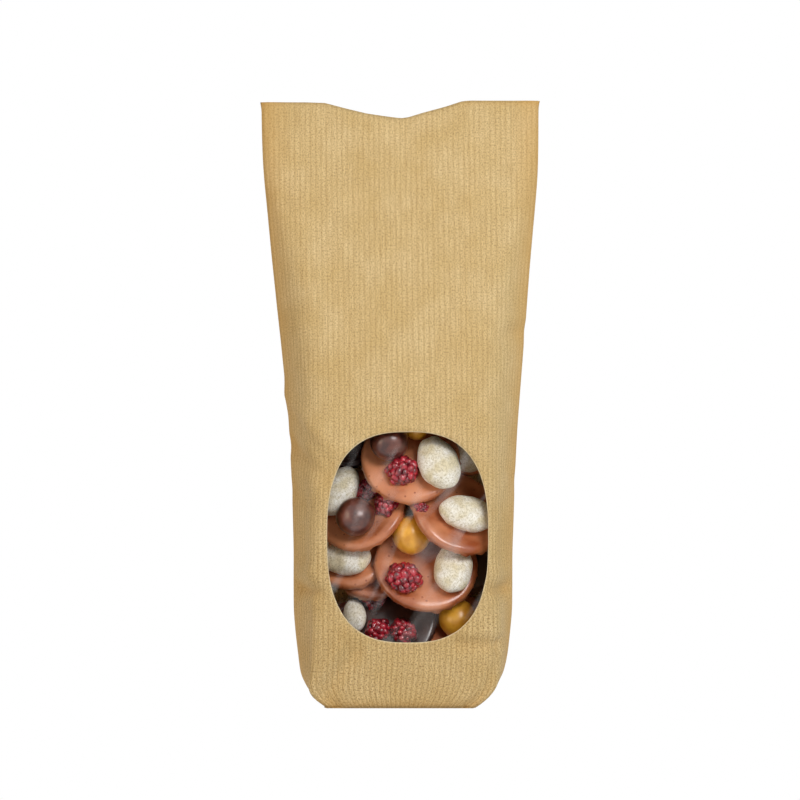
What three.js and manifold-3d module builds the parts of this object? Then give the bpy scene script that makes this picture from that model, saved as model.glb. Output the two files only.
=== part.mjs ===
// A kraft paper bag with a flat folded base and a die-cut oval window, standing open and filled
// with poured chocolate discs topped with sugared almonds, coated nuts and dried raspberries.
// Millimetres. +Z is up, the window looks along -Y, and the origin is on the table under the middle.
import * as THREE from 'three';
import { mergeVertices } from 'three/addons/utils/BufferGeometryUtils.js';
import Module from 'manifold-3d';

const wasm = await Module();
wasm.setup();

// The paper
const flatWidth = 120; // the bag lying flat, from side crease to side crease
const standHeight = 258; // table to the mouth's right corner
const paper = 0.15; // ribbed kraft
const baseDepth = 40; // width of the folded base, front to back
const creaseHeight = 49; // the press line that the folded base leaves across every panel
const fillHeight = 118; // how high the filling keeps the panels apart
const flankWidth = 22; // paper between the soft edge of the front and the side crease, at the filling
const panelBulge = 0.0025; // how much the flat faces curve, in radians for each millimetre
const seamWidth = 10; // the glued lap up the middle of the back
const flapOverlap = 12; // how far the two base flaps lie over each other
const footTuck = 6; // how far the ends of the base roll under
const footHeight = 9; // height of that roll
const edgeRoll = 2; // the same roll along the front and back edges
const edgeRollHeight = 4;
const bodyDrift = 1.3; // how far the filled body stands to the right of the mouth

// The mouth's cut edge, from left to right
const leftCornerDrop = 0.8; // the left corner stands this much lower than the right one
const scoopLeft = -32;
const scoopRight = 27;
const scoopDepth = 7.2;

// The window and its film
const windowWidth = 68;
const windowHeight = 89;
const windowMiddle = 72.5; // height of its middle
const windowOffset = 2; // sideways from the middle of the front
const windowSquareness = 2.65; // 2 is an ellipse, more is closer to a rectangle
const film = 0.05;
const filmGap = 0.1; // glue line between film and paper
const filmMargin = 4; // film beyond the window's edge, at least

// The sweets
const discThickness = 4.4;
const discDome = 0.7;
const discEdge = 1.9; // how far the poured rim rounds over
const almondLength = 24;
const almondWidth = 16.5;
const almondThickness = 12;
const hazelnutDiameter = 16.4;
const raspberryLength = 14;
const raspberryWidth = 12;
const raspberryThickness = 8;
const toppingSink = 2.4; // how deep a topping sits in the chocolate
const seatGap = 0.3; // running gap wherever two pieces touch

const quarterSteps = 10; // columns from the front's centre line to a side crease
const around = 4 * quarterSteps;
const halfWidth = flatWidth / 2;
const columnWidth = halfWidth / quarterSteps;
const filmLow = windowMiddle - windowHeight / 2 - filmMargin;
const filmHigh = windowMiddle + windowHeight / 2 + filmMargin;
const radians = THREE.MathUtils.degToRad;

const material = (color, roughness, opacity = 1) => new THREE.MeshStandardMaterial({
  color, roughness, metalness: 0, opacity, transparent: opacity < 1, side: THREE.DoubleSide,
});
const materials = {
  kraft: material('#d3b683', 0.8),
  film: material('#ffffff', 0.1, 0.2),
  milk: material('#8a4f33', 0.45),
  dark: material('#3a211c', 0.4),
  sugar: material('#cfc8b6', 0.75),
  gold: material('#b9842c', 0.35),
  berry: material('#7d1530', 0.6),
};

// The bag's section at a few heights: flank is the paper between the front's soft edge and the side
// crease, turn is how steeply that flank runs back, soft is the length of the bend between them.
const between = (low, high, share) => low + share * (high - low);
const aboveFilling = (share) => between(fillHeight, standHeight, share);
const stations = [
  { z: 0, flank: baseDepth / 2, turn: 88, soft: 6, bulge: 0.3 },
  { z: footHeight, flank: baseDepth / 2, turn: 85, soft: 6, bulge: 0.4 },
  { z: 0.3 * creaseHeight, flank: baseDepth / 2, turn: 78.5, soft: 8, bulge: 0.5 },
  { z: 0.5 * creaseHeight, flank: baseDepth / 2 + 0.5, turn: 71, soft: 10, bulge: 0.7 },
  { z: 0.8 * creaseHeight, flank: flankWidth - 1, turn: 64, soft: 12, bulge: 0.9 },
  { z: creaseHeight, flank: flankWidth - 0.5, turn: 62.5, soft: 12, bulge: 0.9 },
  { z: 0.6 * fillHeight, flank: flankWidth, turn: 60.5, soft: 14, bulge: 1 },
  { z: fillHeight, flank: flankWidth, turn: 55.5, soft: 18, bulge: 1 },
  { z: aboveFilling(0.24), flank: 0.91 * flankWidth, turn: 50.5, soft: 18, bulge: 0.8 },
  { z: aboveFilling(0.39), flank: 0.77 * flankWidth, turn: 46, soft: 18, bulge: 0.8 },
  { z: aboveFilling(0.53), flank: 0.59 * flankWidth, turn: 44, soft: 14, bulge: 0.6 },
  { z: aboveFilling(0.68), flank: 0.36 * flankWidth, turn: 41, soft: 10, bulge: 0.6 },
  { z: aboveFilling(0.82), flank: 0.2 * flankWidth, turn: 32, soft: 8, bulge: 0.6 },
  { z: standHeight, flank: 0.1 * flankWidth, turn: 26, soft: 5, bulge: 0.6 },
];

// Folds pressed or buckled into the panels. Places are along the paper from the front's centre line
// and up; depth is inwards, reach is how far each side of the line the paper is drawn in.
const creases = [
  { from: [4 - halfWidth, creaseHeight], to: [22 - halfWidth, creaseHeight], depth: 0.9, reach: 7 },
  { from: [halfWidth - 22, creaseHeight], to: [halfWidth - 4, creaseHeight], depth: 0.9, reach: 7 },
  { from: [2 - halfWidth, fillHeight - 6], to: [27 - halfWidth, fillHeight - 20], depth: 1.4, reach: 9 },
  { from: [-halfWidth, fillHeight + 15], to: [34 - halfWidth, fillHeight - 10], depth: -0.9, reach: 9 },
  { from: [halfWidth - 16, fillHeight + 39], to: [halfWidth - 3, fillHeight + 40], depth: 0.9, reach: 8 },
  { from: [halfWidth - 34, creaseHeight / 2], to: [halfWidth - 16, creaseHeight / 2], depth: 0.8, reach: 7 },
  { from: [23 - halfWidth, footHeight - 2], to: [38 - halfWidth, creaseHeight - 15], depth: 0.9, reach: 7 },
  { from: [-flatWidth, creaseHeight], to: [-halfWidth - 4, creaseHeight], depth: 0.7, reach: 7 },
  { from: [halfWidth + 4, creaseHeight], to: [flatWidth, creaseHeight], depth: 0.7, reach: 7 },
];

// A value between the stations, along a smooth curve that passes through each of them.
function stationValue(key, z) {
  const last = stations.length - 1;
  if (z <= stations[0].z) return stations[0][key];
  if (z >= stations[last].z) return stations[last][key];
  const i = stations.findIndex((station) => station.z > z) - 1;
  const slope = (n) => {
    const below = stations[Math.max(n - 1, 0)];
    const above = stations[Math.min(n + 1, last)];
    return (above[key] - below[key]) / (above.z - below.z);
  };
  const [low, high] = [stations[i], stations[i + 1]];
  const span = high.z - low.z;
  const t = (z - low.z) / span;
  return (2 * t ** 3 - 3 * t ** 2 + 1) * low[key] + (t ** 3 - 2 * t ** 2 + t) * span * slope(i)
    + (3 * t ** 2 - 2 * t ** 3) * high[key] + (t ** 3 - t ** 2) * span * slope(i + 1);
}

function smoothstep(t) {
  const u = THREE.MathUtils.clamp(t, 0, 1);
  return u * u * (3 - 2 * u);
}

// How far the paper is drawn in at a place, from the creases near it.
function creaseDepth(across, z) {
  const place = new THREE.Vector2(across, z);
  const nearest = new THREE.Vector2();
  let depth = 0;
  for (const { from, to, depth: deepest, reach } of creases) {
    const start = new THREE.Vector2(...from);
    const run = new THREE.Vector2(...to).sub(start);
    const t = THREE.MathUtils.clamp(place.clone().sub(start).dot(run) / run.lengthSq(), 0, 1);
    nearest.copy(start).addScaledVector(run, t);
    depth += deepest * Math.max(0, 1 - place.distanceTo(nearest) / reach) ** 1.3;
  }
  return depth;
}

// A quarter of the section, walked along the paper from the front's centre line to the side crease:
// at each column the distance across, the distance back from the front, and the paper's direction.
const quarterCache = new Map();
function quarterAt(z) {
  if (quarterCache.has(z)) return quarterCache.get(z);
  const [flank, turn, soft, bulge] = ['flank', 'turn', 'soft', 'bulge'].map((key) => stationValue(key, z));
  const edge = halfWidth - flank;
  const direction = (s) => panelBulge * bulge * s + radians(turn) * smoothstep((s - edge) / soft + 0.5);
  const walkSteps = 10;
  const step = columnWidth / walkSteps;
  const columns = [{ x: 0, back: 0, angle: 0 }];
  let [x, back] = [0, 0];
  for (let n = 0; n < quarterSteps * walkSteps; n++) {
    const angle = direction((n + 0.5) * step);
    x += Math.cos(angle) * step;
    back += Math.sin(angle) * step;
    if ((n + 1) % walkSteps === 0) columns.push({ x, back, angle: direction((n + 1) * step) });
  }
  const roll = (tuck, height) => tuck * Math.max(0, 1 - z / height) ** 2;
  const quarter = {
    columns,
    halfDepth: back,
    widthShare: 1 - roll(footTuck, footHeight) / x,
    depthShare: 1 - roll(edgeRoll, edgeRollHeight) / back,
    drift: bodyDrift * smoothstep(z / creaseHeight * 2) * smoothstep((standHeight - z) / (standHeight - fillHeight)),
  };
  quarterCache.set(z, quarter);
  return quarter;
}

// A point on the paper: column 0 is the front's centre line, and columns run anticlockwise seen from above.
function skin(column, z, inset) {
  const { columns, halfDepth, widthShare, depthShare, drift } = quarterAt(z);
  const j = (column + around) % around;
  const isLeft = j > 2 * quarterSteps;
  const fromFront = isLeft ? around - j : j;
  const isBack = fromFront > quarterSteps;
  const k = isBack ? 2 * quarterSteps - fromFront : fromFront;
  const { x, back, angle } = columns[k];
  const across = fromFront * columnWidth * (isLeft ? -1 : 1);
  const drawnIn = inset + creaseDepth(across, z);
  const onCrease = k === quarterSteps;
  const insetX = onCrease ? drawnIn / Math.sin(angle) : drawnIn * Math.sin(angle);
  const insetY = onCrease ? 0 : drawnIn * Math.cos(angle);
  const px = x * widthShare - insetX;
  const py = (back - halfDepth) * depthShare + insetY;
  return new THREE.Vector3(px * (isLeft ? -1 : 1) + drift, py * (isBack ? -1 : 1), z);
}

// The rows of the surface, closer together where the paper bends most. The film's edges have rows too.
const rowHeights = [
  2 * paper, edgeRollHeight * 0.4, edgeRollHeight, footHeight,
  ...[0.2, 0.65, 0.88].map((share) => between(footHeight, creaseHeight, share)),
  ...[0, 0.08, 0.27, 0.49, 0.7, 0.88].map((share) => between(creaseHeight, fillHeight, share)),
  ...[0.13, 0.22, 0.29, 0.39, 0.51, 0.65, 0.79, 0.9, 1].map(aboveFilling),
  filmLow, filmHigh,
].sort((a, b) => a - b);

function geometryOf(points, faces) {
  const geometry = new THREE.BufferGeometry();
  geometry.setAttribute('position', new THREE.Float32BufferAttribute(points.flatMap((p) => p.toArray()), 3));
  geometry.setIndex(faces.flat());
  return geometry;
}

const quad = (a, b, c, d) => [a, b, c, a, c, d];

// The solid inside the paper's surface, drawn in by inset, closed flat at its lowest and highest row.
function loft(heights, inset) {
  const points = heights.flatMap((z) => Array.from({ length: around }, (_, j) => skin(j, z, inset)));
  const faces = [];
  for (let row = 0; row < heights.length - 1; row++) {
    for (let j = 0; j < around; j++) {
      const next = (j + 1) % around;
      const [low, high] = [row * around, (row + 1) * around];
      faces.push(quad(low + j, low + next, high + next, high + j));
    }
  }
  const top = (heights.length - 1) * around;
  for (let j = 0; j < 2 * quarterSteps; j++) {
    // each strip of a cap joins two front columns to the two back columns behind them
    const left = (around - quarterSteps + j) % around;
    const right = (left + 1) % around;
    const behind = (column) => (2 * quarterSteps - column + around) % around;
    const strip = [left, right, behind(right), behind(left)];
    const corners = strip.filter((corner, n) => strip.indexOf(corner) === n);
    const cap = corners.length === 4 ? quad(...corners) : corners;
    faces.push(cap.map((corner) => top + corner));
    faces.push([...cap].reverse());
  }
  return geometryOf(points, faces);
}

// A thin panel that follows the paper between two columns and two heights.
function panel(fromColumn, toColumn, heights, outer, inner) {
  const wide = toColumn - fromColumn + 1;
  const layer = (inset) => heights.flatMap((z) => Array.from({ length: wide }, (_, n) => skin(fromColumn + n, z, inset)));
  const points = [...layer(outer), ...layer(inner)];
  const inside = wide * heights.length;
  const faces = [];
  const cell = (row, n) => quad(row * wide + n, row * wide + n + 1, (row + 1) * wide + n + 1, (row + 1) * wide + n);
  for (let row = 0; row < heights.length - 1; row++) {
    for (let n = 0; n < wide - 1; n++) {
      faces.push(cell(row, n), cell(row, n).reverse().map((corner) => corner + inside));
    }
    const [leftLow, leftHigh] = [row * wide, (row + 1) * wide];
    const [rightLow, rightHigh] = [leftLow + wide - 1, leftHigh + wide - 1];
    faces.push(quad(leftLow, leftHigh, leftHigh + inside, leftLow + inside));
    faces.push(quad(rightHigh, rightLow, rightLow + inside, rightHigh + inside));
  }
  const top = (heights.length - 1) * wide;
  for (let n = 0; n < wide - 1; n++) {
    faces.push(quad(n + 1, n, n + inside, n + 1 + inside));
    faces.push(quad(top + n, top + n + 1, top + n + 1 + inside, top + n + inside));
  }
  return geometryOf(points, faces);
}

// A closed three.js geometry as a solid that can be cut and joined, and back again.
function solidOf(geometry, matrix = new THREE.Matrix4()) {
  const bare = new THREE.BufferGeometry();
  bare.setAttribute('position', geometry.getAttribute('position').clone());
  bare.setIndex(geometry.index);
  const merged = mergeVertices(bare.applyMatrix4(matrix), 1e-4);
  return new wasm.Manifold(new wasm.Mesh({
    numProp: 3,
    vertProperties: Float32Array.from(merged.attributes.position.array),
    triVerts: Uint32Array.from(merged.index.array),
  }));
}

function geometryFrom(solid) {
  const { vertProperties, triVerts } = solid.getMesh();
  const geometry = new THREE.BufferGeometry();
  geometry.setAttribute('position', new THREE.BufferAttribute(vertProperties, 3));
  geometry.setIndex(new THREE.BufferAttribute(triVerts, 1));
  geometry.computeVertexNormals();
  return geometry;
}

// An outline drawn as seen from the front, extruded front to back.
function frontPrism(shape, fromY, toY) {
  const geometry = new THREE.ExtrudeGeometry(shape, { depth: toY - fromY, bevelEnabled: false, curveSegments: 10 });
  return geometry.rotateX(Math.PI / 2).translate(0, toY, 0);
}

function windowShape() {
  const points = [];
  const count = 56;
  for (let n = 0; n < count; n++) {
    const angle = (2 * Math.PI * n) / count;
    const power = (value) => Math.sign(value) * Math.abs(value) ** (2 / windowSquareness);
    points.push(new THREE.Vector2(
      windowOffset + quarterAt(windowMiddle).drift + (windowWidth / 2) * power(Math.cos(angle)),
      windowMiddle + (windowHeight / 2) * power(Math.sin(angle)),
    ));
  }
  return new THREE.Shape(points);
}

// Everything above the mouth's cut edge: level at the corners, with a wide shallow scoop between them.
function aboveMouthShape() {
  const left = standHeight - leftCornerDrop;
  const lowest = standHeight - scoopDepth - leftCornerDrop;
  const clear = flatWidth;
  const shape = new THREE.Shape();
  shape.moveTo(-clear, left);
  shape.lineTo(scoopLeft, left);
  shape.bezierCurveTo(scoopLeft + 9, left - 0.4, scoopLeft + 13, lowest + 2, 0, lowest);
  shape.quadraticCurveTo(3, lowest + 0.1, scoopRight / 3, lowest + 2.3);
  shape.lineTo(scoopRight, standHeight + 0.1);
  shape.lineTo(clear, standHeight + 0.1);
  shape.lineTo(clear, standHeight + 20);
  shape.lineTo(-clear, standHeight + 20);
  return shape;
}

// The two glued flaps under the base. Each runs from its fold past the middle, and its ends slant
// in at 45 degrees from the corners of the base, as the tube's corners were folded.
function baseFlap(side, thickness) {
  const fold = quarterAt(2 * paper).halfDepth - edgeRoll - 0.5;
  const flatEnd = (flatWidth - baseDepth) / 2 - footTuck - 2;
  const cornerStart = (flatWidth - baseDepth) / 2 - flatEnd;
  const slantStart = baseDepth / 2 - cornerStart;
  const freeEdge = -flapOverlap / 2;
  const tip = flatEnd - (slantStart - freeEdge);
  const outline = [
    [flatEnd, fold], [flatEnd, slantStart], [tip, freeEdge], [-tip, freeEdge], [-flatEnd, slantStart], [-flatEnd, fold],
  ].map(([x, y]) => new THREE.Vector2(x, side * y));
  const intoBase = paper;
  const geometry = new THREE.ExtrudeGeometry(new THREE.Shape(outline), { depth: thickness + intoBase, bevelEnabled: false });
  return geometry.translate(0, 0, 2 * paper - thickness);
}

function paperBag() {
  const floor = 4 * paper;
  const innerHeights = [floor, ...rowHeights.slice(1), standHeight + 2];
  const outside = solidOf(loft(rowHeights, 0));
  const seamColumns = Math.round(seamWidth / 2 / columnWidth);
  const seam = solidOf(panel(2 * quarterSteps - seamColumns, 2 * quarterSteps + seamColumns, rowHeights, -paper, paper / 3));
  return outside
    .add(seam)
    .add(solidOf(baseFlap(1, 2 * paper)))
    .add(solidOf(baseFlap(-1, paper)))
    .subtract(solidOf(loft(innerHeights, paper)))
    .subtract(solidOf(frontPrism(windowShape(), -baseDepth, 0)))
    .subtract(solidOf(frontPrism(aboveMouthShape(), -baseDepth, baseDepth)));
}

function windowFilm() {
  const reach = windowWidth / 2 + windowOffset + bodyDrift + filmMargin;
  const columns = Math.ceil(reach / columnWidth - 0.5);
  const heights = rowHeights.filter((z) => z >= filmLow && z <= filmHigh);
  return solidOf(panel(-columns, columns, heights, paper + filmGap, paper + filmGap + film));
}

// A poured disc of chocolate: flat underneath, rounded at the rim, slightly domed on top.
function discGeometry(radius) {
  const profile = [new THREE.Vector2(0, 0)];
  const rimSteps = 3;
  for (let n = 0; n <= rimSteps; n++) {
    const angle = -Math.PI / 2 + (Math.PI * n) / rimSteps;
    profile.push(new THREE.Vector2(
      radius - discEdge + discEdge * Math.cos(angle),
      (discThickness / 2) * (1 + Math.sin(angle)),
    ));
  }
  profile.push(new THREE.Vector2(0, discThickness + discDome));
  return new THREE.LatheGeometry(profile, 20).rotateX(Math.PI / 2);
}

// A sugared almond: a flattened egg, its long way along Y.
function almondGeometry() {
  const geometry = new THREE.SphereGeometry(1, 9, 6);
  const places = geometry.getAttribute('position');
  for (let n = 0; n < places.count; n++) {
    const along = places.getY(n);
    const taper = 1 - 0.1 * along;
    places.setX(n, places.getX(n) * taper);
    places.setZ(n, places.getZ(n) * taper);
  }
  return geometry.scale(almondWidth / 2, almondLength / 2, almondThickness / 2);
}

function hazelnutGeometry() {
  return new THREE.SphereGeometry(hazelnutDiameter / 2, 10, 7).scale(1, 1.04, 0.96);
}

// A piece of dried raspberry: a rough lump covered in drupelets.
function raspberryGeometry() {
  const geometry = mergeVertices(new THREE.IcosahedronGeometry(1, 1).deleteAttribute('normal').deleteAttribute('uv'), 1e-3);
  const places = geometry.getAttribute('position');
  const place = new THREE.Vector3();
  for (let n = 0; n < places.count; n++) {
    place.fromBufferAttribute(places, n);
    const lumps = 0.1 * Math.cos(5.5 * place.x + 1) * Math.cos(5.5 * place.y) + 0.08 * Math.cos(6 * place.z + 2);
    place.multiplyScalar(0.88 + lumps);
    places.setXYZ(n, place.x, place.y, place.z);
  }
  return geometry.scale(raspberryLength / 2, raspberryWidth / 2, raspberryThickness / 2);
}

const toppingKinds = {
  almond: { geometry: almondGeometry, half: almondThickness / 2, material: materials.sugar, name: 'sugared_almond' },
  gold: { geometry: hazelnutGeometry, half: hazelnutDiameter / 2, material: materials.gold, name: 'golden_hazelnut' },
  dark: { geometry: hazelnutGeometry, half: hazelnutDiameter / 2, material: materials.dark, name: 'dark_hazelnut' },
  berry: { geometry: raspberryGeometry, half: raspberryThickness / 2, material: materials.berry, name: 'raspberry' },
};

// The sweets, from the one nearest the window backwards. x and z are where the disc's middle shows
// through the window; tilt leans the disc back from upright and turn faces it right; each topping
// has its place on the disc, its roll and, where it is a smaller one, its size. A sweet that hides
// behind others starts that far behind the window.
const sweets = [
  { name: 'top', x: 4.3, z: 104, radius: 21.5, tilt: 28, turn: 0, chocolate: 'milk', toppings: [
    { kind: 'dark', at: [-8.9, 4.3] }, { kind: 'berry', at: [-3, -7.6], roll: 20, size: 1.05 },
    { kind: 'almond', at: [11.8, -4.8], roll: 20, size: 1.04 }, { kind: 'gold', at: [2.8, 12.4], size: 0.65 }] },
  { name: 'right', x: 24, z: 80.5, radius: 21, tilt: 36, turn: 24, chocolate: 'milk', toppings: [
    { kind: 'almond', at: [0.4, -4], roll: 75 }, { kind: 'berry', at: [-17.2, 2], roll: 0, size: 0.45 }] },
  { name: 'left', x: -16.5, z: 82, radius: 20, tilt: 32, turn: -18, chocolate: 'milk', toppings: [
    { kind: 'dark', at: [1.8, -7.9] }, { kind: 'almond', at: [-9.2, 6], roll: -24 },
    { kind: 'berry', at: [3.2, 8.8], roll: 60, size: 0.8 }, { kind: 'berry', at: [12.4, 1.6], roll: 80, size: 0.85 }] },
  { name: 'middle', x: 11, z: 58.5, radius: 22.5, tilt: 30, turn: 4, chocolate: 'milk', toppings: [
    { kind: 'gold', at: [-6.4, 10.5] }, { kind: 'berry', at: [-9.8, -8], roll: -20, size: 1.15 },
    { kind: 'almond', at: [11, -3.5], roll: -8 }] },
  { name: 'lower_left', x: -20.5, z: 62, radius: 17, tilt: 36, turn: -8, chocolate: 'milk', toppings: [
    { kind: 'almond', at: [-2.4, -4.5], roll: 84 }] },
  { name: 'left_edge', x: -12, z: 55, radius: 15, tilt: 40, turn: -4, chocolate: 'milk', toppings: [] },
  { name: 'bottom', x: -4, z: 34, radius: 20, tilt: 24, turn: -6, chocolate: 'dark', toppings: [
    { kind: 'berry', at: [-6.5, 9.8], roll: 40, size: 0.75 }, { kind: 'berry', at: [-4.8, -5], roll: 50, size: 0.9 },
    { kind: 'berry', at: [6, -5], roll: -30, size: 0.9 }, { kind: 'almond', at: [-15, 2], roll: 10, size: 0.6 }] },
  { name: 'lower_right', x: 22, z: 32, radius: 17.5, tilt: 30, turn: 10, chocolate: 'milk', toppings: [
    { kind: 'gold', at: [1.2, -0.5] }] },
  { name: 'upper_right', x: 30.5, z: 110.5, radius: 14, tilt: 8, turn: 12, chocolate: 'milk', toppings: [
    { kind: 'almond', at: [-1.8, -3.5], roll: 30, size: 0.8 }] },
  { name: 'right_edge', x: 29, z: 59, radius: 13.5, tilt: 12, turn: 10, chocolate: 'dark', toppings: [] },
  { name: 'upper_left', x: -23, z: 112.5, radius: 13, tilt: 12, turn: 5, behind: 12, chocolate: 'dark', toppings: [] },
];

// Plainer discs that stand behind, against the back panel.
const backSweets = [
  { name: 'back_low_left', x: -20, z: 26, radius: 18, tilt: 4, turn: 0, chocolate: 'milk', toppings: [] },
  { name: 'back_low_right', x: 20, z: 26, radius: 18, tilt: 3, turn: 0, chocolate: 'dark', toppings: [] },
  { name: 'back_high', x: 2, z: 100, radius: 16, tilt: 5, turn: 0, chocolate: 'dark', toppings: [] },
];

const toppingCounts = {};
function toppingMesh({ kind, at, roll = 0, size = 1 }) {
  const { geometry, half, material: finish, name } = toppingKinds[kind];
  toppingCounts[kind] = (toppingCounts[kind] ?? 0) + 1;
  const mesh = new THREE.Mesh(geometry().scale(size, size, size), finish);
  mesh.name = `${name}_${toppingCounts[kind]}`;
  mesh.position.set(at[0], at[1], discThickness + discDome / 2 + half * size - toppingSink);
  mesh.rotation.z = radians(roll);
  mesh.userData.socketGrowth = 1 + seatGap / (half * size);
  return mesh;
}

// A disc with its toppings seated in it: each one presses its own socket into the chocolate.
function sweetGroup({ name, radius, tilt, turn, chocolate, toppings }) {
  const group = new THREE.Group();
  group.rotation.set(radians(90 - tilt), 0, radians(turn), 'ZXY');
  const pieces = toppings.map(toppingMesh);
  let disc = solidOf(discGeometry(radius));
  for (const piece of pieces) {
    piece.updateMatrix();
    const grown = piece.matrix.clone().scale(new THREE.Vector3().setScalar(piece.userData.socketGrowth));
    disc = disc.subtract(solidOf(piece.geometry, grown));
  }
  const discMesh = new THREE.Mesh(geometryFrom(disc), materials[chocolate]);
  discMesh.name = `chocolate_disc_${name}`;
  return group.add(discMesh, ...pieces);
}

function groupSolid(group) {
  group.updateMatrixWorld(true);
  return group.children.map((mesh) => solidOf(mesh.geometry, mesh.matrixWorld)).reduce((all, one) => all.add(one));
}

// Settles a sweet in the free space: from the panel it leans on (side -1 is the window, 1 the back)
// it moves inwards until nothing is in its way. If no place is free there, it moves to the middle
// step by step, and after the first step it also climbs the pile.
function settle(group, { x, z, behind = 0 }, side, free) {
  const solid = groupSolid(group);
  const { min, max } = solid.boundingBox();
  const wall = side * quarterAt(fillHeight).halfDepth;
  const start = wall - (side < 0 ? min[1] : max[1]);
  const isClear = (...place) => solid.translate(place).subtract(free).isEmpty();
  const room = 2 * Math.abs(wall) - (max[1] - min[1]);
  const sideSteps = 12;
  const climb = (n) => 10 * Math.max(0, n - 1);
  for (let n = 0; z + climb(n) + max[2] < standHeight; n++) {
    const [px, pz] = [x * Math.max(0, 1 - n / sideSteps), z + climb(n)];
    const stride = climb(n) > 0 ? 2.5 : 1;
    for (let moved = behind; moved < room; moved += stride) {
      if (!isClear(px, start - side * moved, pz)) continue;
      let [blocked, open] = [Math.max(moved - stride, 0), moved];
      for (let halving = 0; halving < 5; halving++) {
        const middle = (blocked + open) / 2;
        if (isClear(px, start - side * middle, pz)) open = middle;
        else blocked = middle;
      }
      group.position.set(px, start - side * (open + seatGap / 2), pz);
      if (!isClear(...group.position.toArray())) group.position.y = start - side * open;
      return solid.translate(group.position.toArray());
    }
  }
  throw new Error(`there is no room for the sweet at ${x}, ${z}`);
}

const bag = new THREE.Group();

const paperMesh = new THREE.Mesh(geometryFrom(paperBag()), materials.kraft);
paperMesh.name = 'paper_bag';
const filmMesh = new THREE.Mesh(geometryFrom(windowFilm()), materials.film);
filmMesh.name = 'window_film';
bag.add(paperMesh, filmMesh);

const cavityRows = rowHeights.filter((z) => z > footHeight);
let free = solidOf(loft([4 * paper + seatGap, edgeRollHeight * 0.4, edgeRollHeight, footHeight, ...cavityRows], paper + filmGap + film + seatGap / 2));
for (const [list, side] of [[sweets, -1], [backSweets, 1]]) {
  for (const sweet of list) {
    const group = sweetGroup(sweet);
    free = free.subtract(settle(group, sweet, side, free));
    bag.add(group);
  }
}

export default bag;
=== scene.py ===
# Looks for the windowed kraft paper bag: ribbed kraft with its folds and die-cut window, the clear
# film behind it, and the topped chocolate discs that fill the bag.
import math

import bmesh
import bpy
from mathutils import Matrix, Vector, noise


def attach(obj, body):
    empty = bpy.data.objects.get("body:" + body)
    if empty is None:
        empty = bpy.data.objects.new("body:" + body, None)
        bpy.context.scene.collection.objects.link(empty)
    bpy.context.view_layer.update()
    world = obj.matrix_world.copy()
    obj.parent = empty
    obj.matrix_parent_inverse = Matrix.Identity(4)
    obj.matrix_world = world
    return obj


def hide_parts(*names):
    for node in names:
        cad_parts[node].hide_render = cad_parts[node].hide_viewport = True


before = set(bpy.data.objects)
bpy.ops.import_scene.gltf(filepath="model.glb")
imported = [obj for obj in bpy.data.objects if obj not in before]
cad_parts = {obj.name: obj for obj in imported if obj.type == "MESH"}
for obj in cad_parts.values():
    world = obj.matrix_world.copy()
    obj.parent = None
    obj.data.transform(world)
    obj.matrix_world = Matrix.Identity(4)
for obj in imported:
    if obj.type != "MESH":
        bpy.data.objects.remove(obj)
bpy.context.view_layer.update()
mm = 0.001


# Helpers for numbers, meshes and materials

# A colour written as in a paint program, as the numbers that a shader takes.
def linear(hexColour):
    channels = [int(hexColour[i:i + 2], 16) / 255 for i in (1, 3, 5)]
    return [c / 12.92 if c <= 0.04045 else ((c + 0.055) / 1.055) ** 2.4 for c in channels] + [1.0]


# From 0 at 0 to 1 at 1, level at both ends.
def smooth(t):
    t = min(max(t, 0.0), 1.0)
    return t * t * (3 - 2 * t)


# From 1 at no distance to 0 at the reach and beyond it.
def fade(distance, reach):
    return max(0.0, 1 - distance / reach)


def newPiece(name, bm, materials, replaced=()):
    mesh = bpy.data.meshes.new(name)
    bm.to_mesh(mesh)
    bm.free()
    for polygon in mesh.polygons:
        polygon.use_smooth = True
    piece = bpy.data.objects.new(name, mesh)
    bpy.context.scene.collection.objects.link(piece)
    for material in materials:
        mesh.materials.append(material)
    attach(piece, "root")
    if replaced:
        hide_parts(*replaced)
    return piece


# A material with its shader's own sockets set, its node tree and its shader.
def newMaterial(name, settings):
    material = bpy.data.materials.new(name)
    material.use_nodes = True
    tree = material.node_tree
    shader = tree.nodes["Principled BSDF"]
    for socket, value in settings.items():
        shader.inputs[socket].default_value = value
    return material, tree, shader


def node(tree, kind, inputs=None, **attributes):
    made = tree.nodes.new(kind)
    for key, value in attributes.items():
        setattr(made, key, value)
    for key, value in (inputs or {}).items():
        if isinstance(value, bpy.types.NodeSocket):
            tree.links.new(value, made.inputs[key])
        else:
            made.inputs[key].default_value = value
    return made


# The bag's form, in millimetres

bag = {
    "flatWidth": 120.0,  # of the empty tube pressed flat
    "height": 258.0,
    "paper": 0.15,
    "creaseHeight": 49.0,  # the pressed line above the folded base
    "fillHeight": 118.0,
    "panelBulge": 0.0025,  # how much the front turns for each millimetre along it
    "drift": 1.3,  # how far the middle of the standing bag leans to the right
    "sideRoll": 9.0,  # how far the sides draw in at the foot, and up to which height
    "sideRollTop": 12.0,
    "edgeRoll": 2.0,  # the same from front to back
    "edgeRollTop": 4.0,
    "stiffReach": 6.0,  # so close to a side crease, dents don't move the paper
    "lap": 10.0,
    "lapRise": 1.15,  # in sheets of paper
    "trimFrom": 0.78,  # share of the height above which the rows follow the mouth's cut
    "lipCurl": 1.1,
    "lipReach": 4.0,
    "lipEnd": 4.0,  # from the side crease
    "lipFade": 12.0,
    "cell": 1.5,
}
crease = bag["flatWidth"] / 2  # places along the paper, from the front's middle
halfGirth = bag["flatWidth"]
girth = 2 * bag["flatWidth"]

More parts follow.
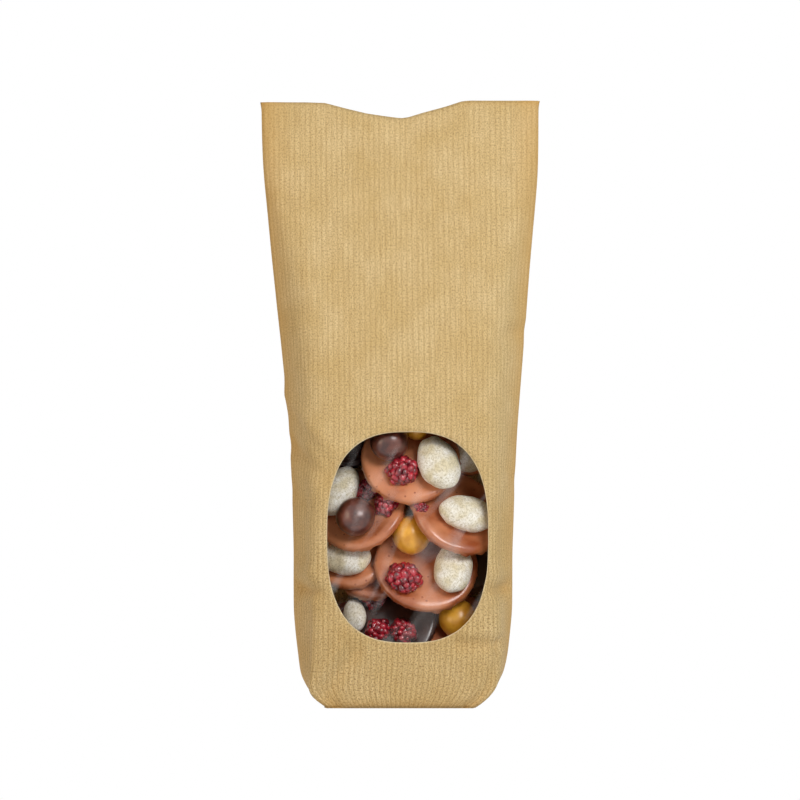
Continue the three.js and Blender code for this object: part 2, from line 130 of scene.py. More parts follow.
# Sections: height, flank, turn, soft and bulge. The flank is the paper between the front's soft edge
# and the side crease, turn is how steeply it runs back, soft is the length of the bend between them,
# and bulge is the share of the panel's bulge.
stations = [
    (0, 20, 88, 6, 0.3), (9, 20, 85, 6, 0.4), (14.7, 20, 78.5, 8, 0.5), (24.5, 20.5, 71, 10, 0.7),
    (39.2, 21, 64, 12, 0.9), (49, 21.5, 62.5, 12, 0.9), (70.8, 22, 60.5, 14, 1), (118, 22, 55.5, 18, 1),
    (151.6, 20, 50.5, 18, 0.8), (172.6, 17, 46, 18, 0.8), (192.2, 13, 44, 14, 0.6), (213.2, 8, 41, 10, 0.6),
    (232.8, 4.4, 32, 8, 0.6), (258, 2.2, 26, 5, 0.6),
]

# The mouth's cut edge from left to right: place across and height.
mouthEdge = [
    (-60, 257.3), (-40, 257.2), (-32, 256.9), (-23.5, 254.6), (-14.5, 252.4), (-6, 251.1), (0.4, 250.3),
    (3.5, 250.7), (9.7, 252.6), (19.6, 255.3), (26.5, 257.6), (30, 257.9), (60, 257.9),
]

# Folds: from and to (along the paper, up), depth inwards, reach on each side, and how crisp.
folds = [
    # the pressed line of the base, with the ridge above it, and the same line round the sides
    ((-52, 50), (-37, 49), 2.3, 6, 1.3),
    ((-55, 50.5), (-35, 48.5), 0.8, 2.6, 1.0),
    ((38, 50), (52, 50), 2.1, 6, 1.3),
    ((36, 49), (55, 50.5), 0.8, 2.6, 1.0),
    ((-52, 57), (-39, 58), -0.9, 6, 1.5),
    ((39, 57), (52, 58), -0.8, 6, 1.5),
    ((-120, 49), (-70, 49), 0.9, 6, 1.6),
    ((70, 49), (120, 49), 0.9, 6, 1.6),
    # buckles where the flat upper bag meets the filling
    ((-56, 111), (-33, 98), 2.0, 7, 1.2),
    ((-60, 133), (-26, 108), -1.1, 9, 1.6),
    ((-52, 124), (-30, 103), 0.9, 5, 1.2),
    ((-57, 92), (-40, 84), 0.6, 7, 1.6),
    ((43, 157), (57, 160), 1.0, 7, 1.4),
    ((46, 165), (57, 164), -0.6, 5, 1.4),
    ((44, 104), (58, 96), 0.6, 8, 1.8),
    # the corners that the folded base pulls flat
    ((24, 27), (45, 27), 2.1, 5, 1.1),
    ((24, 32), (45, 31), -0.5, 5, 1.6),
    ((43, 27), (35, 3), 2.0, 4, 1.1),
    ((-40, 6), (-24, 33), -1.7, 5, 1.0),
    ((-33, 4), (-20, 24), 1.7, 5, 1.1),
    ((-44, 8), (-44, 40), 2.4, 18, 1.6),
    # hollows beside the window
    ((-46, 62), (-46, 100), 0.9, 14, 1.8),
    ((46, 60), (46, 84), 0.7, 12, 1.8),
    # soft dents and ridges of the front
    ((-20, 219), (-20, 214), 0.7, 8, 2.0),
    ((14, 215), (14, 211), 0.7, 8, 2.0),
    ((-30, 190), (-22, 150), 0.6, 12, 2.0),
    ((32, 235), (26, 140), -0.7, 12, 2.0),
    ((-46, 240), (-38, 170), -0.7, 9, 2.0),
    ((8, 240), (2, 170), 0.5, 14, 2.0),
    ((-8, 28), (10, 24), 0.5, 9, 2.0),
    # soft dents of the back
    ((-100, 190), (-80, 120), 0.9, 12, 2.0),
    ((85, 210), (100, 140), 0.9, 12, 2.0),
    ((70, 90), (112, 70), 0.8, 12, 2.0),
]

# The slow unevenness of handled paper. Steps are in noise cells for each millimetre across and up.
cockles = {
    "broad": 0.45, "broadSteps": (0.028, 0.016),
    "fine": 0.16, "fineSteps": (0.09, 0.045),
    "loose": 0.5, "looseFrom": 120, "looseOver": 60,  # added to the broad ones above the filling
    "stillFoot": 14,
}


# A smooth curve through one column of the stations.
def stationValue(index, z):
    last = len(stations) - 1
    if z <= stations[0][0]:
        return stations[0][index]
    if z >= stations[last][0]:
        return stations[last][index]
    i = next(n for n in range(last) if stations[n + 1][0] > z)

    def slope(n):
        below, above = stations[max(n - 1, 0)], stations[min(n + 1, last)]
        return (above[index] - below[index]) / (above[0] - below[0])

    low, high = stations[i], stations[i + 1]
    span = high[0] - low[0]
    t = (z - low[0]) / span
    return ((2 * t ** 3 - 3 * t ** 2 + 1) * low[index] + (t ** 3 - 2 * t ** 2 + t) * span * slope(i)
            + (3 * t ** 2 - 2 * t ** 3) * high[index] + (t ** 3 - t ** 2) * span * slope(i + 1))


tableStep = 0.5
tableRows = int(crease / tableStep)


# The section at one height, from the front's middle to the side crease: rows of across, back and
# direction, then half the depth, the shares left of width and depth at the foot, and the lean.
def quarterTable(z):
    flank, turn, soft, bulge = (stationValue(n, z) for n in (1, 2, 3, 4))
    edge = crease - flank
    x = back = 0.0
    rows = [(0.0, 0.0, 0.0)]
    for n in range(tableRows):
        s = (n + 0.5) * tableStep
        angle = bag["panelBulge"] * bulge * s + math.radians(turn) * smooth((s - edge) / soft + 0.5)
        x += math.cos(angle) * tableStep
        back += math.sin(angle) * tableStep
        rows.append((x, back, angle))
    widthShare = 1 - bag["sideRoll"] * fade(z, bag["sideRollTop"]) ** 2 / x
    depthShare = 1 - bag["edgeRoll"] * fade(z, bag["edgeRollTop"]) ** 2 / back
    lean = (bag["drift"] * smooth(z / bag["creaseHeight"] * 2)
            * smooth((bag["height"] - z) / (bag["height"] - bag["fillHeight"])))
    return rows, back, widthShare, depthShare, lean


tables = [quarterTable(z) for z in range(int(bag["height"]) + 1)]  # one for each millimetre up


def foldDepth(s, z):
    depth = 0.0
    for (x0, z0), (x1, z1), deepest, reach, crisp in folds:
        dx, dz = x1 - x0, z1 - z0
        t = min(max(((s - x0) * dx + (z - z0) * dz) / (dx * dx + dz * dz), 0.0), 1.0)
        depth += deepest * fade(math.hypot(s - x0 - t * dx, z - z0 - t * dz), reach) ** crisp
    return depth


# How far the paper stands inwards of its section, by its cockles and folds.
def dent(s, z):
    loose = smooth((z - cockles["looseFrom"]) / cockles["looseOver"])
    (broadS, broadZ), (fineS, fineZ) = cockles["broadSteps"], cockles["fineSteps"]
    broad = noise.noise(Vector((s * broadS, z * broadZ, 3.1))) * (cockles["broad"] + cockles["loose"] * loose)
    fine = noise.noise(Vector((s * fineS, z * fineZ, 7.7))) * cockles["fine"]
    return foldDepth(s, z) + (broad + fine) * smooth(z / cockles["stillFoot"])


# A point of the bag in metres, from its place along the paper and its height. The front's middle is
# at 0, the side creases are at plus and minus crease, and the back's middle is at halfGirth.
def paperPoint(s, z, inward):
    s = (s + halfGirth) % girth - halfGirth
    across = abs(s)
    behind = across > crease
    steps = (halfGirth - across if behind else across) / tableStep
    row = min(int(steps), tableRows - 1)
    along = steps - row
    low = min(int(z), len(tables) - 2)
    part = min(max(z - low, 0.0), 1.0)
    values = []
    for table, weight in ((tables[low], 1 - part), (tables[low + 1], part)):
        rows, half, widthShare, depthShare, lean = table
        x, back, angle = (rows[row][n] * (1 - along) + rows[row + 1][n] * along for n in range(3))
        values.append((x * widthShare * weight, (back - half) * depthShare * weight, angle * weight, lean * weight))
    x, y, angle, lean = (sum(pair) for pair in zip(*values))
    stiff = bag["stiffReach"]
    nearCrease = smooth((across - (crease - stiff)) / stiff) * smooth((crease + stiff - across) / stiff)
    x -= inward * math.sin(angle)
    y += inward * math.cos(angle) * (1 - nearCrease)
    return Vector(((math.copysign(x, s) + lean) * mm, (-y if behind else y) * mm, z * mm))


# The height of the cut edge. The back panel has the front's cut, seen through it.
def mouthHeight(s):
    across = (s + halfGirth) % girth - halfGirth
    if abs(across) > crease:
        across = math.copysign(halfGirth - abs(across), across)
    for (x0, z0), (x1, z1) in zip(mouthEdge, mouthEdge[1:]):
        if x0 <= across <= x1:
            t = (across - x0) / (x1 - x0)
            return z0 + (z1 - z0) * t
    return mouthEdge[-1][1]


# The top rows follow the cut edge of the mouth.
def cutHeight(s, z):
    height, trimFrom = bag["height"], bag["trimFrom"]
    return z + (mouthHeight(s) - height) * smooth((z / height - trimFrom) / (1 - trimFrom))


# The oval window in the front. The die lifts the paper a little along the cut.
windowCut = {
    "middle": (2.0, 72.4), "width": 68.0, "height": 88.6, "power": 2.65,
    "lift": 0.14, "liftShare": 0.05,
    "edgeReach": 4.0,  # how far from the cut the attribute nearCut counts
}


# Below 1 inside the window, 1 on its cut edge.
def windowPlace(s, z):
    (middleS, middleZ), power = windowCut["middle"], windowCut["power"]
    u = abs(s - middleS) / (windowCut["width"] / 2)
    v = abs(z - middleZ) / (windowCut["height"] / 2)
    return (u ** power + v ** power) ** (1 / power)


# How much the paper is coloured a deeper orange brown, partly wear from handling and partly painted shade.
# Most at the side creases, where it paints the deeper colour of the shaded flanks, a painted shadow line along the
# foot, a band along the mouth, and least on the folds, as painted shade in them.
wearAndShade = {"crease": 0.55, "creaseReach": 15, "foot": 0.3, "footReach": 5, "mouth": 0.3, "mouthReach": 3, "fold": 0.05}


def wornAndShadedAt(s, z):
    wornAndPainted = (wearAndShade["crease"] * fade(abs(abs(s) - crease), wearAndShade["creaseReach"]) ** 1.5
            + wearAndShade["foot"] * fade(z, wearAndShade["footReach"])
            + wearAndShade["mouth"] * fade(bag["height"] - z, wearAndShade["mouthReach"]))
    return min(1.0, wornAndPainted + wearAndShade["fold"] * abs(foldDepth(s, z)))


# Paper and film

uvSpan = 100.0  # millimetres of paper in one unit of the UV map


# A flat grid of the sheet, with each vertex's place along the paper and up it. The attributes come
# before the vertices, because a new one makes earlier vertices invalid.
def sheetGrid(fromS, toS, fromZ, toZ, cell):
    bm = bmesh.new()
    bm.verts.layers.float.new("wornAndShaded")
    bm.verts.layers.float.new("nearCut")
    bmesh.ops.create_grid(bm, x_segments=round((toS - fromS) / cell), y_segments=round((toZ - fromZ) / cell), size=1)
    flat = {}
    for vertex in bm.verts:
        s = fromS + (toS - fromS) * (vertex.co.x + 1) / 2
        z = fromZ + (toZ - fromZ) * (vertex.co.y + 1) / 2
        flat[vertex] = (s, z)
    return bm, flat


# A UV map with the place on the sheet, so that ribs and grain follow the paper.
def mapPaper(bm, flat):
    layer = bm.loops.layers.uv.new("Paper")
    for face in bm.faces:
        for loop in face.loops:
            s, z = flat[loop.vert]
            loop[layer].uv = (s / uvSpan, z / uvSpan)


def buildBag(materials):
    lap = bag["lap"] / 2
    bm, flat = sheetGrid(-halfGirth - lap, halfGirth + lap, 2 * bag["paper"], bag["height"], bag["cell"])
    inWindow = []
    for face in bm.faces:
        s, z = (sum(flat[vertex][n] for vertex in face.verts) / 4 for n in (0, 1))
        if windowPlace(s, z) < 1:
            inWindow.append(face)
    bmesh.ops.delete(bm, geom=inWindow, context="FACES")
    middleS, middleZ = windowCut["middle"]
    for vertex in bm.verts:
        s, z = flat[vertex]
        place = windowPlace(s, z)
        if vertex.is_boundary and 0.8 < place < 1.2:  # the ragged cells' edge moves onto the oval
            flat[vertex] = (middleS + (s - middleS) / place, middleZ + (z - middleZ) / place)
    mapPaper(bm, flat)
    wornAndShaded, nearCut = bm.verts.layers.float["wornAndShaded"], bm.verts.layers.float["nearCut"]
    for vertex in bm.verts:
        s, z = flat[vertex]
        z = cutHeight(s, z)
        place = windowPlace(s, z)
        inFront = abs(s) < crease
        # The deeper brown is partly wear and partly painted shade at the side creases, the foot and the folds.
        vertex[wornAndShaded] = wornAndShadedAt(s, z)
        vertex[nearCut] = max(0.0, windowCut["edgeReach"] - (place - 1) * windowCut["width"] / 2)
        inward = dent(s, z)
        if s > halfGirth - lap:  # the lap lies on the sheet below it
            inward -= bag["paper"] * bag["lapRise"] * smooth(s - (halfGirth - lap))
        curl = bag["lipCurl"] * fade(mouthHeight(s) - z, bag["lipReach"]) ** 1.6  # both lips lean back
        inward += curl * smooth((crease - bag["lipEnd"] - abs(s)) / bag["lipFade"]) if inFront else -curl
        if inFront:
            inward -= windowCut["lift"] * smooth((1 + windowCut["liftShare"] - place) / windowCut["liftShare"])
        vertex.co = paperPoint(s, z, inward)
    piece = newPiece("kraft_bag", bm, materials, ["paper_bag"])
    sheet = piece.modifiers.new("Sheet", "SOLIDIFY")
    sheet.thickness = bag["paper"] * mm
    sheet.offset = -1
    sheet.use_rim = True
    sheet.material_offset_rim = 1  # the cut edge of the paper
    return piece


# The folded base: a floor across the tube, and two long flaps glued over each other below it.
base = {
    "flapEnd": 31, "flapFold": 18.2, "cornerStart": 15, "tip": 15, "overlap": 6, "sheet": 0.14, "air": 0.01,
    "inset": 0.05, "floorSegments": (60, 12), "flapSegments": (8, 4),
}


def buildBase(materials):
    bm = bmesh.new()
    floorX, floorY = base["floorSegments"]
    bmesh.ops.create_grid(bm, x_segments=floorX, y_segments=floorY, size=1)
    for vertex in bm.verts:
        s, share = vertex.co.x * crease, (vertex.co.y + 1) / 2
        front = paperPoint(s, 2 * bag["paper"], base["inset"])
        back = paperPoint(math.copysign(halfGirth - abs(s), s), 2 * bag["paper"], base["inset"])
        vertex.co = front.lerp(back, share)
    bmesh.ops.remove_doubles(bm, verts=bm.verts, dist=1e-6)
    flapX, flapY = base["flapSegments"]
    for side, height in ((1, 0.0), (-1, base["sheet"] + base["air"])):
        flap = bmesh.ops.create_grid(bm, x_segments=flapX, y_segments=flapY, size=1)["verts"]
        for vertex in flap:
            across = vertex.co.x * base["flapEnd"]
            along = -base["overlap"] + (base["flapFold"] + base["overlap"]) * (vertex.co.y + 1) / 2
            vertex.co = (across * mm, side * along * mm, height * mm)
        for end in (1, -1):  # a slanting cut takes off each outer corner
            slant = Vector((end * (base["cornerStart"] + base["overlap"]), side * (base["tip"] - base["flapEnd"]), 0))
            corner = Vector((end * base["flapEnd"], side * base["cornerStart"], height)) * mm
            faces = {face for vertex in flap for face in vertex.link_faces}
            edges = {edge for face in faces for edge in face.edges}
            cut = bmesh.ops.bisect_plane(bm, geom=list(faces) + list(edges) + flap, plane_co=corner, plane_no=slant,
                                         clear_outer=True)
            flap = [v for v in flap if v.is_valid]
            flap += [v for v in cut["geom_cut"] if isinstance(v, bmesh.types.BMVert)]
    for face in bm.faces:
        face.normal_update()
    bmesh.ops.reverse_faces(bm, faces=[face for face in bm.faces if face.normal.z > 0])
    mapPaper(bm, {vertex: (vertex.co.x / mm, vertex.co.y / mm) for vertex in bm.verts})
    piece = newPiece("folded_base", bm, materials)
    sheet = piece.modifiers.new("Sheet", "SOLIDIFY")
    sheet.thickness = base["sheet"] * mm
    sheet.offset = -1
    return piece


windowFilm = {
    "left": -37, "right": 41, "low": 24, "high": 121, "cell": 1.6, "behind": 0.26,
    "stuckShare": 0.12,  # of the window's half width, inside its cut
    "forward": 0.1, "slack": 0.28, "waveSteps": (0.05, 0.02), "rippleSteps": (0.13, 0.05),
}


# The film is stuck down round the window and stands slack and wavy across it.
def buildFilm(material):
    bm, flat = sheetGrid(windowFilm["left"], windowFilm["right"], windowFilm["low"], windowFilm["high"],
                         windowFilm["cell"])
    mapPaper(bm, flat)
    (waveS, waveZ), (rippleS, rippleZ) = windowFilm["waveSteps"], windowFilm["rippleSteps"]
    for vertex in bm.verts:
        s, z = flat[vertex]
        inside = smooth((1 - windowPlace(s, z)) / windowFilm["stuckShare"])
        wave = (noise.noise(Vector((s * waveS, z * waveZ, 1.5)))
                + 0.5 * noise.noise(Vector((s * rippleS, z * rippleZ, 9.5))))
        inward = windowFilm["behind"] - inside * (windowFilm["forward"] + windowFilm["slack"] * wave)
        vertex.co = paperPoint(s, z, dent(s, z) + inward)
    return newPiece("clear_film", bm, [material], ["window_film"])


# Pattern sizes are in millimetres. Real fibres are finer than a pixel of the render, so they are
# drawn half a millimetre and more wide.
kraft = {
    "ground": "#d9bd84", "pale": "#e3ca96", "valley": "#ac8b52", "streak": "#a98650", "fibre": "#8d6c3c",
    # The first colour below is a deeper brown, partly wear and partly painted shade at the side creases, the foot and
    # the folds.
    "wornAndShaded": "#cb9b4f", "cutEdgeHighlight": "#f8e8c0", "tornDark": "#d6bd88", "tornPale": "#f6e9c8",
    # The second colour above is a painted highlight, a pale cream along the window's cut.
    "ribPitch": 2.25, "cloudSize": 20.0, "streakSize": (1.111, 11.11), "fibreSize": (0.588, 0.769), "tornSize": 0.333,
}


# Machine-glazed ribbed kraft: brown unbleached paper with ribs pressed in between rollers. It is
# matte and dry, each rib's valley shows as a thin darker line, and short fibres make it speckled.
# Ribs and specks are darker towards the bottom.
def ribbedKraft():
    material, tree, shader = newMaterial("ribbed_kraft_paper", {"Roughness": 0.7, "Specular IOR Level": 0.3})
    place = node(tree, "ShaderNodeUVMap", uv_map="Paper").outputs[0]
    upward = node(tree, "ShaderNodeSeparateXYZ", {0: place}).outputs["Y"]
    wornAndShaded = node(tree, "ShaderNodeAttribute", attribute_name="wornAndShaded").outputs["Fac"]
    nearCut = node(tree, "ShaderNodeAttribute", attribute_name="nearCut").outputs["Fac"]

    waveScale = math.pi / 10 / (kraft["ribPitch"] / uvSpan)  # a wave's period is pi / 10 at scale 1
    ribs = node(tree, "ShaderNodeTexWave", {"Vector": place, "Scale": waveScale, "Distortion": 0.6, "Detail": 1.0,
                                           "Detail Scale": 3.0}, bands_direction="X").outputs["Fac"]
    clouds = node(tree, "ShaderNodeTexNoise", {"Vector": place, "Scale": uvSpan / kraft["cloudSize"],
                                              "Detail": 4.0}).outputs[0]
    streakScale = [uvSpan / size for size in kraft["streakSize"]] + [1]
    streakPlace = node(tree, "ShaderNodeMapping", {"Vector": place, "Scale": streakScale}).outputs[0]
    streaks = node(tree, "ShaderNodeTexNoise", {"Vector": streakPlace, "Scale": 1.0, "Detail": 3.0}).outputs[0]
    fibreScale = [uvSpan / size for size in kraft["fibreSize"]] + [1]
    fibrePlace = node(tree, "ShaderNodeMapping", {"Vector": place, "Scale": fibreScale}).outputs[0]
    fibres = node(tree, "ShaderNodeTexNoise", {"Vector": fibrePlace, "Scale": 1.0, "Detail": 3.0,
                                              "Roughness": 0.65}).outputs[0]

    cloudy = node(tree, "ShaderNodeMapRange", {"Value": clouds, "From Min": 0.35, "From Max": 0.65}).outputs[0]
    colour = node(tree, "ShaderNodeMix", {0: cloudy, 6: linear(kraft["ground"]), 7: linear(kraft["pale"])},
                  data_type="RGBA").outputs[2]
    # Rib valleys and specks are drawn darker towards the bottom of the bag.
    ribsByHeight = node(tree, "ShaderNodeMapRange", {"Value": upward, "From Min": 0.5, "From Max": 1.6,
                                               "To Min": 0.54, "To Max": 0.72}).outputs[0]
    onRib = node(tree, "ShaderNodeMapRange", {"Value": ribs, "From Max": 0.45, "To Min": ribsByHeight}).outputs[0]
    clean = node(tree, "ShaderNodeMapRange", {"Value": streaks, "From Min": 0.3, "From Max": 0.62,
                                             "To Min": 0.72}).outputs[0]
    specksByHeight = node(tree, "ShaderNodeMapRange", {"Value": upward, "From Min": 0.3, "From Max": 1.4,
                                              "To Max": 0.3}).outputs[0]
    bare = node(tree, "ShaderNodeMapRange", {"Value": fibres, "From Min": 0.3, "From Max": 0.55,
                                            "To Min": specksByHeight}).outputs[0]
    for share, darker in ((onRib, "valley"), (clean, "streak"), (bare, "fibre")):
        colour = node(tree, "ShaderNodeMix", {0: share, 6: linear(kraft[darker]), 7: colour},
                      data_type="RGBA").outputs[2]
    # A thin band of the front face along the window's cut is painted paler: a painted highlight where the lifted cut
    # edge catches the light.
    paintedCutHighlight = node(tree, "ShaderNodeMapRange", {"Value": nearCut, "From Min": windowCut["edgeReach"] - 0.45,
                                              "From Max": windowCut["edgeReach"] - 0.05, "To Max": 0.6}).outputs[0]
    # Mixed in below: the deeper brown of wear and painted shade, then the painted highlight along the window's cut.
    for share, wornAndPainted in ((wornAndShaded, "wornAndShaded"), (paintedCutHighlight, "cutEdgeHighlight")):
        colour = node(tree, "ShaderNodeMix", {0: share, 6: colour, 7: linear(kraft[wornAndPainted])},
                      data_type="RGBA").outputs[2]
    tree.links.new(colour, shader.inputs["Base Color"])

    pressed = node(tree, "ShaderNodeBump", {"Height": ribs, "Strength": 0.22, "Distance": 0.3 * mm}).outputs[0]
    grain = node(tree, "ShaderNodeBump", {"Height": fibres, "Strength": 0.45, "Distance": 0.12 * mm,
                                         "Normal": pressed}).outputs[0]
    tree.links.new(grain, shader.inputs["Normal"])
    return material


# The die-cut edge of the same paper: torn fibres without the glaze, so it is paler and fully matte.
def cutKraftEdge():
    material, tree, shader = newMaterial("cut_kraft_edge", {"Roughness": 0.85, "Specular IOR Level": 0.2})
    place = node(tree, "ShaderNodeTexCoord").outputs["Object"]
    fibres = node(tree, "ShaderNodeTexNoise", {"Vector": place, "Scale": 1 / (kraft["tornSize"] * mm),
                                              "Detail": 2.0}).outputs[0]
    torn = node(tree, "ShaderNodeMix", {0: fibres, 6: linear(kraft["tornDark"]), 7: linear(kraft["tornPale"])},
                data_type="RGBA").outputs[2]
    tree.links.new(torn, shader.inputs["Base Color"])
    return material


# The streaks set here are painted reflections on the film.
filmLook = {"tint": "#f4f6f8", "roughness": 0.12, "streakSize": (9.0, 42.0), "streakTurn": -0.6, "paintedReflection": 0.18}


# Clear cast polypropylene film: glossy and almost colourless. Its slanting pale streaks are painted reflections,
# painted into the alpha, where it waves and catches the light.
def clearFilm():
    material, tree, shader = newMaterial("clear_cast_film", {
        "Base Color": linear(filmLook["tint"]), "Roughness": filmLook["roughness"], "IOR": 1.5,
        "Specular IOR Level": 0.6})
    place = node(tree, "ShaderNodeUVMap", uv_map="Paper").outputs[0]
    streakScale = [size / uvSpan for size in filmLook["streakSize"]] + [1]
    slanted = node(tree, "ShaderNodeMapping", {"Vector": place, "Rotation": (0, 0, filmLook["streakTurn"]),
                                              "Scale": streakScale}, vector_type="TEXTURE").outputs[0]
    reflectionStreaks = node(tree, "ShaderNodeTexNoise", {"Vector": slanted, "Scale": 1.0, "Detail": 1.5,
                                             "Distortion": 0.5}).outputs[0]
    # The pale streaks in the alpha are painted reflections.
    paintedReflection = node(tree, "ShaderNodeMapRange", {"Value": reflectionStreaks, "From Min": 0.54, "From Max": 0.78,
                                            "To Max": filmLook["paintedReflection"]}).outputs[0]
    tree.links.new(paintedReflection, shader.inputs["Alpha"])
    return material


buildBag([ribbedKraft(), cutKraftEdge()])
buildBase([bpy.data.materials["ribbed_kraft_paper"]])
print("paper done")
buildFilm(clearFilm())
print("film done")


# The sweets

# A welded copy of a CAD node's mesh in the row frame, in metres.
def cadMesh(name):
    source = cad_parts[name]
    bm = bmesh.new()
    bm.from_mesh(source.data)
    bm.transform(source.matrix_world)
    bmesh.ops.remove_doubles(bm, verts=bm.verts, dist=1e-6)
    return bm


def middleOf(bm):
    return sum((vertex.co for vertex in bm.verts), Vector()) / len(bm.verts)


# Where a CAD disc lies: the middle of its flat underside, the direction of its face, and its radius.
def discFrame(name):
    bm = cadMesh(name)
    groups = {}
    for face in bm.faces:
        key = tuple(round(c, 1) for c in face.normal)
        groups.setdefault(key, []).append(face)
    underside = max(groups.values(), key=lambda faces: sum(f.calc_area() for f in faces))
    normal = sum((f.normal * f.calc_area() for f in underside), Vector()).normalized()
    area = sum(f.calc_area() for f in underside)
    middle = sum((f.calc_center_median() * f.calc_area() for f in underside), Vector()) / area
    radius = max(((v.co - middle) - (v.co - middle).dot(normal) * normal).length for v in bm.verts)
    bm.free()
    return middle, -normal, radius


disc = {
    "thick": 4.4, "rim": 1.9,
    # the dished face, from the rim inwards: share of the radius, and rise over the thickness
    "face": ((0.86, 0.2), (0.78, -0.05), (0.68, -0.3), (0.5, -0.1), (0.33, 0.3), (0.16, 0.6), (0.002, 0.7)),
    "steps": 96, "outOfRound": 0.03, "flow": 0.65, "foot": 0.1, "footBand": (0.2, 1.2),
}


# A poured disc: a spun profile with a soft rim and a dished face, out of round where it spread, and
# with a ragged foot where it was lifted off the sheet.
def buildDisc(name, material, seed):
    middle, up, radius = discFrame(name)
    thick, rim = disc["thick"] * mm, disc["rim"] * mm
    bm = bmesh.new()
    profile = [(0.0001, 0.0), (radius * 0.5, 0.0)]
    for n in range(11):
        angle = -math.pi / 2 + math.pi * n / 10
        profile.append((radius - rim + rim * math.cos(angle), thick / 2 * (1 + math.sin(angle))))
    profile += [(radius * share, thick + rise * mm) for share, rise in disc["face"]]
    points = [bm.verts.new((x, 0, z)) for x, z in profile]
    edges = [bm.edges.new(pair) for pair in zip(points, points[1:])]
    bmesh.ops.spin(bm, geom=points + edges, axis=(0, 0, 1), cent=(0, 0, 0), steps=disc["steps"], angle=2 * math.pi,
                   use_merge=True, use_duplicate=False)
    bmesh.ops.remove_doubles(bm, verts=bm.verts, dist=2e-5)
    bmesh.ops.recalc_face_normals(bm, faces=bm.faces)
    turned = up.to_track_quat("Z", "Y").to_matrix()
    footLow, footHigh = (height * mm for height in disc["footBand"])
    for vertex in bm.verts:
        x, y, z = vertex.co
        angle = math.atan2(y, x)
        out = math.hypot(x, y) / radius
        ring = Vector((math.cos(angle), math.sin(angle), 0))
        wobble = noise.noise(ring * 1.4 + Vector((0, 0, seed * 3.7)))
        ragged = max(0.0, noise.noise(ring * 9 + Vector((0, 0, seed * 1.3)))) if footLow < z < footHigh else 0
        ripple = noise.noise(Vector((x * 100, y * 100, seed * 1.9))) * disc["flow"] * mm
        grow = 1 + (disc["outOfRound"] * (wobble - 0.35) + disc["foot"] * ragged) * out
        onFace = z > thick * 0.6
        vertex.co = middle + turned @ Vector((x * grow, y * grow, z + ripple * (1 if onFace else 0.2)))
    return newPiece(name + "_poured", bm, [material], [name])


# How uneven a panned shell is, as a share of its size, and how closely its lumps follow each other.
unevenness = {"nut": {"lump": 0.04, "lumpsPerMetre": 140}, "almond": {"lump": 0.07, "lumpsPerMetre": 190}}


# A coated nut or almond: the CAD solid rounded by subdivision and made uneven.
def buildRounded(name, material, seed, uneven):
    bm = cadMesh(name)
    middle = middleOf(bm)
    for _ in range(3):
        bmesh.ops.subdivide_edges(bm, edges=bm.edges, cuts=1, use_grid_fill=True, smooth=0.55)
    bmesh.ops.smooth_vert(bm, verts=bm.verts, factor=0.5, use_axis_x=True, use_axis_y=True, use_axis_z=True)
    for vertex in bm.verts:
        out = vertex.co - middle
        place = out * uneven["lumpsPerMetre"] + Vector((seed, 0, seed * 2.3))
        vertex.co = middle + out * (1 + noise.noise(place) * uneven["lump"])
    return newPiece(name + "_shell", bm, [material], [name])


# Sizes are shares of the berry's own: the CAD lump drawn in as a core, and drupelets round it.
raspberry = {"core": 0.85, "drupelet": 0.17, "swell": 0.2, "out": 0.88, "sinkIn": 0.14, "shrivel": 0.5}


# A piece of freeze-dried raspberry: shrivelled drupelets packed over the CAD lump.
def buildRaspberry(name, material, seed):
    bm = cadMesh(name)
    middle = middleOf(bm)
    places = [vertex.co - middle for vertex in bm.verts]
    size = max(out.length for out in places)
    bmesh.ops.scale(bm, vec=Vector((1, 1, 1)) * raspberry["core"], space=Matrix.Translation(-middle), verts=bm.verts)
    for n, out in enumerate(places):
        swell = 0.5 + 0.5 * noise.noise(Vector((n * 1.7, seed, 0.3)))
        radius = size * (raspberry["drupelet"] + raspberry["swell"] * swell)
        foot = middle + out * (raspberry["out"] - raspberry["sinkIn"] * swell)
        for vertex in bmesh.ops.create_icosphere(bm, subdivisions=2, radius=radius)["verts"]:
            hollow = noise.noise(vertex.co / radius * 1.1 + Vector((n * 3.1, seed, 0)))
            vertex.co = foot + vertex.co * (1 + raspberry["shrivel"] * hollow)
    return newPiece(name + "_drupelets", bm, [material], [name])


chocolate = {
    "milk_chocolate": {"ground": "#d58b60", "patch": "#9a4a22", "roughness": 0.34, "coat": 0.6},
    "dark_chocolate": {"ground": "#47291f", "patch": "#2f1915", "roughness": 0.3, "coat": 0.35},
    "bloomSize": 18.2, "bubbleSize": 3.85,
}


